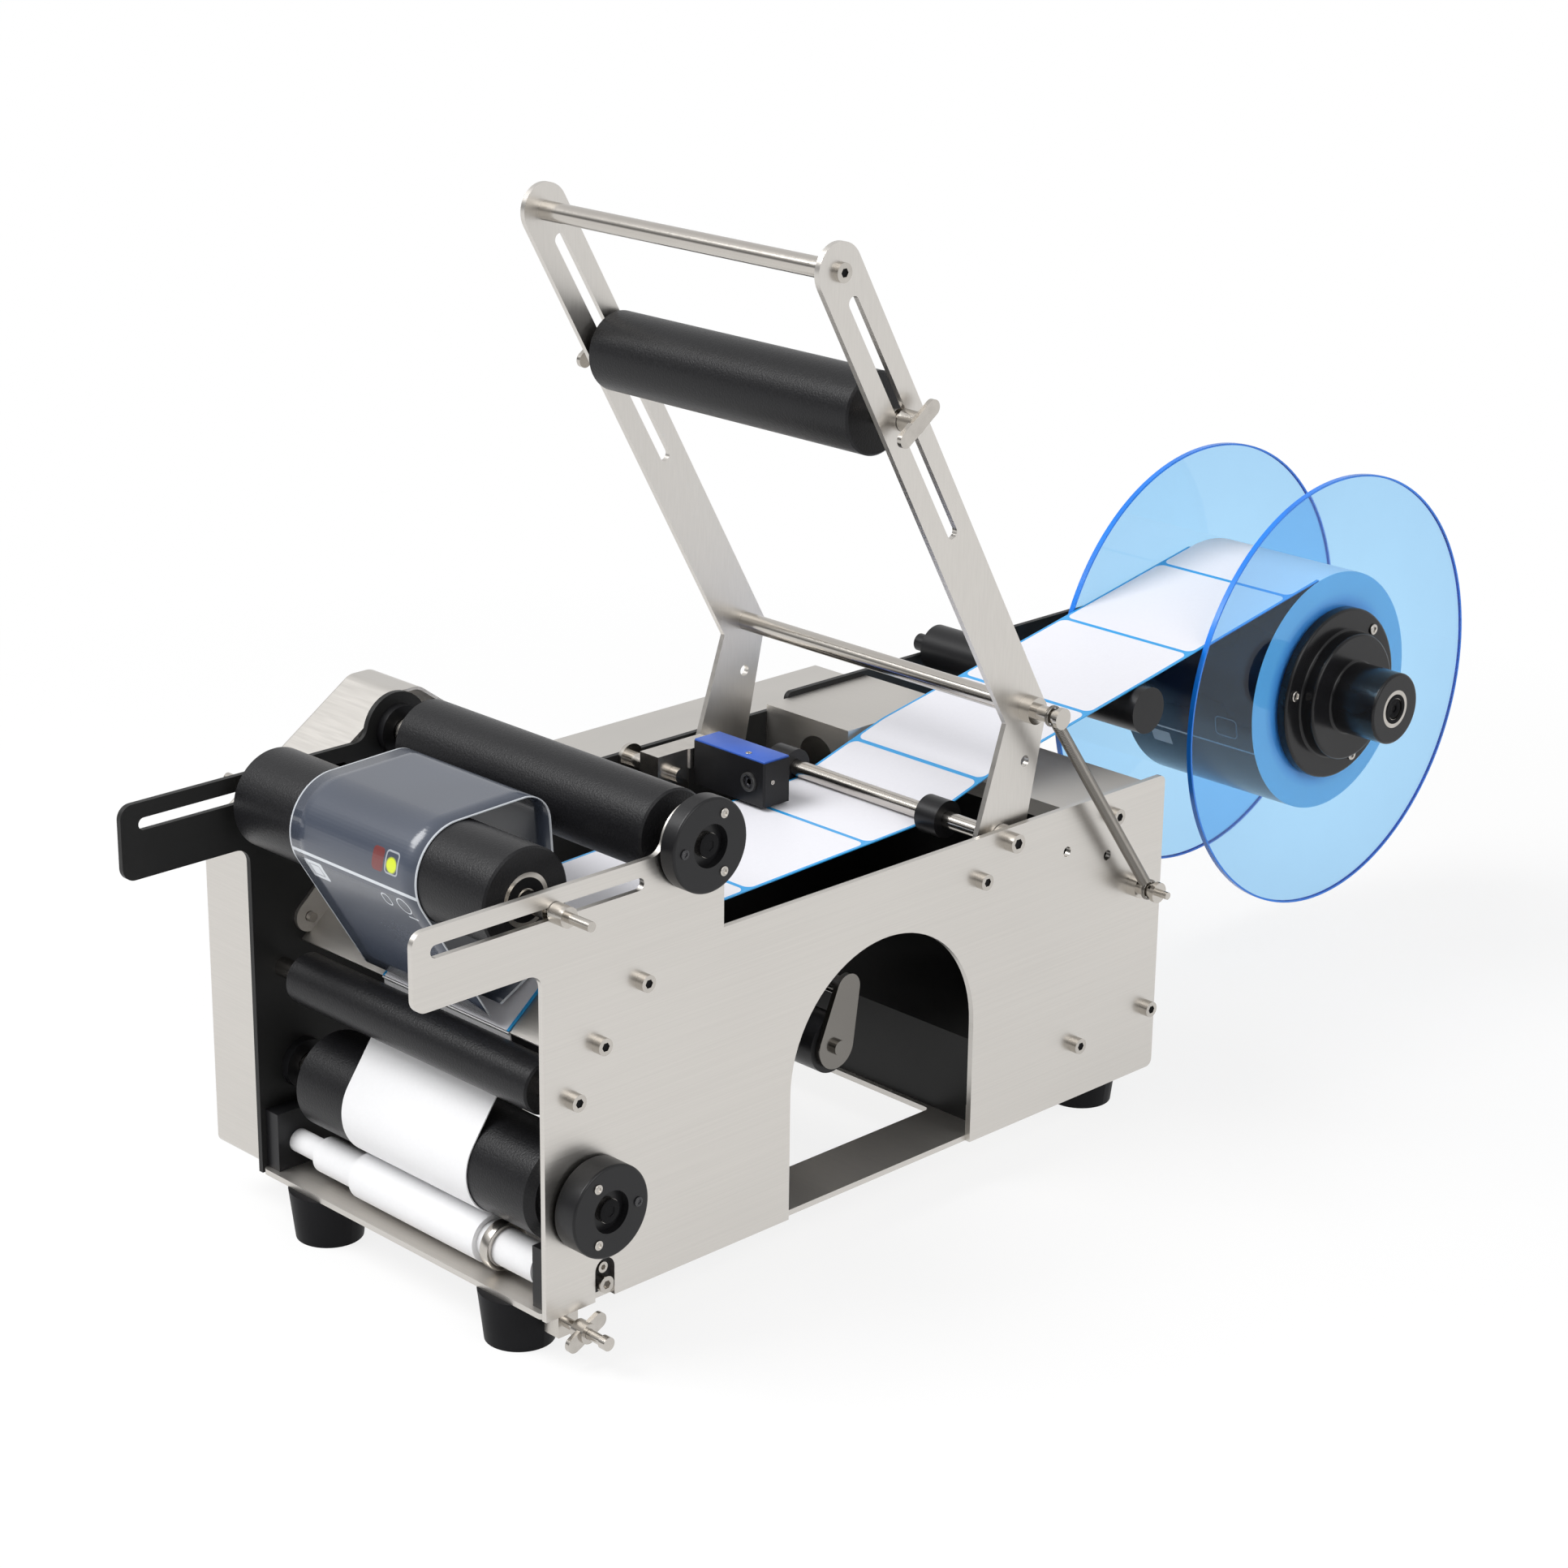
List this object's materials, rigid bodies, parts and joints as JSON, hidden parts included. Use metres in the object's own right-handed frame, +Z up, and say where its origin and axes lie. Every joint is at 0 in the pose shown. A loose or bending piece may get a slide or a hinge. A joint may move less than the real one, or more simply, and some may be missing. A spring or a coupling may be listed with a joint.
{
  "type": "bottle labelling machine",
  "caption": "Bench-top round-bottle labeller: sheet frame with arched side, rubber rollers, knobs, sprung press arm with roller, label web and blue reel",
  "frame": {"origin": "on the surface the machine stands on, midway between its four feet", "axes": "+X from the covered side towards the side with the knobs, +Y from the operator towards the reel, +Z up"},
  "size_m": [0.2843, 0.8445, 0.5025],
  "materials": {
    "steel_sheet": "brushed sheet",
    "black_sheet": "black, satin",
    "steel_bar": "turned and polished",
    "zinc_screw": "bright zinc",
    "black_rubber": "matt",
    "foot_rubber": "matt",
    "belt_rubber": "matt",
    "black_plastic": "satin",
    "hub_plastic": "glossy",
    "reel_plastic": "clear blue",
    "sensor_plastic": "satin",
    "aluminium": "machined",
    "motor_paint": "grey",
    "liner": "glazed liner with white labels",
    "backing": "uncoated",
    "film": "glossy label film",
    "white_card": "plain"
  },
  "bodies": {
    "frame": {"base_tray": "steel_sheet", "left_plate": "black_sheet", "right_plate": "steel_sheet", "rear_deck": "steel_sheet", "deck_box": "steel_sheet", "motor_cover": "steel_sheet", "peel_plate": "steel_sheet", "electronics_box": "black_sheet", "rubber_feet": "foot_rubber", "plate_screws": "zinc_screw", "pivot_shaft": "steel_bar", "spring_post": "steel_bar", "gear_motor": "motor_paint", "drive_belt": "belt_rubber", "label_web": "liner", "sensor_bar": "steel_bar", "takeup_blocks": "black_plastic", "reel_axle": "steel_bar", "guide_axle": "steel_bar", "shaft_bearings": "black_plastic", "clamp_stud": "steel_bar", "backing_paper": "backing", "arm_spring": "steel_bar"},
    "press_arm": {"arm_left": "steel_sheet", "arm_right": "steel_sheet", "handle_rod": "steel_bar", "mid_rod": "steel_bar", "arm_screws": "zinc_screw"},
    "press_carriage": {"press_shaft": "steel_bar"},
    "left_wing_bolt": {"wing_bolt_left": "zinc_screw"},
    "right_wing_bolt": {"wing_bolt_right": "zinc_screw"},
    "press_roll": {"press_roller": "black_rubber"},
    "front_carriage": {"front_shaft": "steel_bar", "front_lock_screws": "zinc_screw", "label_film": "film"},
    "front_roll": {"front_roller": "black_rubber", "front_bearings": "zinc_screw"},
    "rear_roll": {"rear_roller": "black_rubber", "rear_shaft": "steel_bar", "upper_knob": "black_plastic"},
    "guide_roll": {"guide_roller": "black_rubber"},
    "drive_roll": {"drive_roller": "black_rubber", "drive_shaft": "steel_bar", "lower_knob": "black_plastic"},
    "takeup": {"takeup_tube": "white_card", "paper_roll": "backing"},
    "reel": {"reel_disc_inner": "reel_plastic", "reel_disc_outer": "reel_plastic", "reel_hub": "hub_plastic", "label_roll": "liner", "hub_bearings": "zinc_screw"},
    "idler": {"idler_roller": "black_plastic"},
    "sensor": {"sensor_clamp": "aluminium", "label_sensor": "sensor_plastic"},
    "left_collar": {"collar_left": "black_plastic"},
    "right_collar": {"collar_right": "black_plastic"},
    "dancer": {"dancer_lever": "steel_bar"},
    "dancer_roll": {"dancer_roller": "black_plastic"},
    "motor_output": {"motor_pulley": "aluminium"},
    "stud_nut": {"wing_nut": "zinc_screw"}
  },
  "joints": [
    {"name": "arm_swing", "type": "hinge", "parent": "frame", "child": "press_arm", "pos_m": [0, 0.094, 0.185], "axis": [1, 0, 0], "range_deg": [-10, 45], "stiffness_Nm_per_rad": 2.5, "springref_deg": -14.32, "deforming": ["arm_spring"]},
    {"name": "press_slide", "type": "slide", "parent": "press_arm", "child": "press_carriage", "axis": [0, -0.5022, 0.8648], "range_m": [-0.0625, 0.0615]},
    {"name": "left_wing_turn", "type": "hinge", "parent": "press_carriage", "child": "left_wing_bolt", "pos_m": [0, 0.01644, 0.41283], "axis": [1, 0, 0], "range_deg": [-45, 360]},
    {"name": "right_wing_turn", "type": "hinge", "parent": "press_carriage", "child": "right_wing_bolt", "pos_m": [0, 0.01644, 0.41283], "axis": [1, 0, 0], "range_deg": [-45, 360]},
    {"name": "press_spin", "type": "hinge", "parent": "press_carriage", "child": "press_roll", "pos_m": [0, 0.01644, 0.41283], "axis": [1, 0, 0], "continuous": true},
    {"name": "front_slide", "type": "slide", "parent": "frame", "child": "front_carriage", "axis": [0, 1, 0], "range_m": [-0.066, 0.028], "deforming": ["label_film"]},
    {"name": "front_spin", "type": "hinge", "parent": "front_carriage", "child": "front_roll", "pos_m": [0, -0.207, 0.227], "axis": [1, 0, 0], "continuous": true},
    {"name": "drive_spin", "type": "hinge", "parent": "frame", "child": "drive_roll", "pos_m": [0, -0.188, 0.079], "axis": [1, 0, 0], "continuous": true},
    {"name": "rear_spin", "type": "hinge", "parent": "frame", "child": "rear_roll", "pos_m": [0, -0.123, 0.24], "axis": [1, 0, 0], "continuous": true},
    {"name": "guide_spin", "type": "hinge", "parent": "frame", "child": "guide_roll", "pos_m": [0, -0.198, 0.133], "axis": [1, 0, 0], "continuous": true},
    {"name": "takeup_spin", "type": "hinge", "parent": "frame", "child": "takeup", "pos_m": [0, -0.199, 0.04242], "axis": [1, 0, 0], "continuous": true},
    {"name": "motor_spin", "type": "hinge", "parent": "frame", "child": "motor_output", "pos_m": [0, -0.072, 0.076], "axis": [1, 0, 0], "continuous": true},
    {"name": "reel_spin", "type": "hinge", "parent": "frame", "child": "reel", "pos_m": [0, 0.43, 0.178], "axis": [1, 0, 0], "continuous": true},
    {"name": "idler_spin", "type": "hinge", "parent": "frame", "child": "idler", "pos_m": [0, 0.262, 0.204], "axis": [1, 0, 0], "continuous": true},
    {"name": "sensor_slide", "type": "slide", "parent": "frame", "child": "sensor", "axis": [1, 0, 0], "range_m": [-0.012, 0.006]},
    {"name": "left_collar_slide", "type": "slide", "parent": "frame", "child": "left_collar", "axis": [1, 0, 0], "range_m": [-0.03, 0]},
    {"name": "right_collar_slide", "type": "slide", "parent": "frame", "child": "right_collar", "axis": [1, 0, 0], "range_m": [0, 0.03]},
    {"name": "dancer_swing", "type": "hinge", "parent": "frame", "child": "dancer", "pos_m": [0, 0.016, 0.116], "axis": [1, 0, 0], "range_deg": [-20, 25]},
    {"name": "dancer_spin", "type": "hinge", "parent": "dancer", "child": "dancer_roll", "pos_m": [0, 0.008, 0.087], "axis": [1, 0, 0], "continuous": true},
    {"name": "stud_nut_turn", "type": "hinge", "parent": "frame", "child": "stud_nut", "pos_m": [0, -0.197, 0.0175], "axis": [1, 0, 0], "range_deg": [-45, 360]}
  ],
  "couplings": [
    {"joint": "rear_spin", "follows": "drive_spin", "ratio": 1.1905},
    {"joint": "motor_spin", "follows": "drive_spin", "ratio": 1.5},
    {"joint": "takeup_spin", "follows": "drive_spin", "ratio": -2.0833}
  ]
}
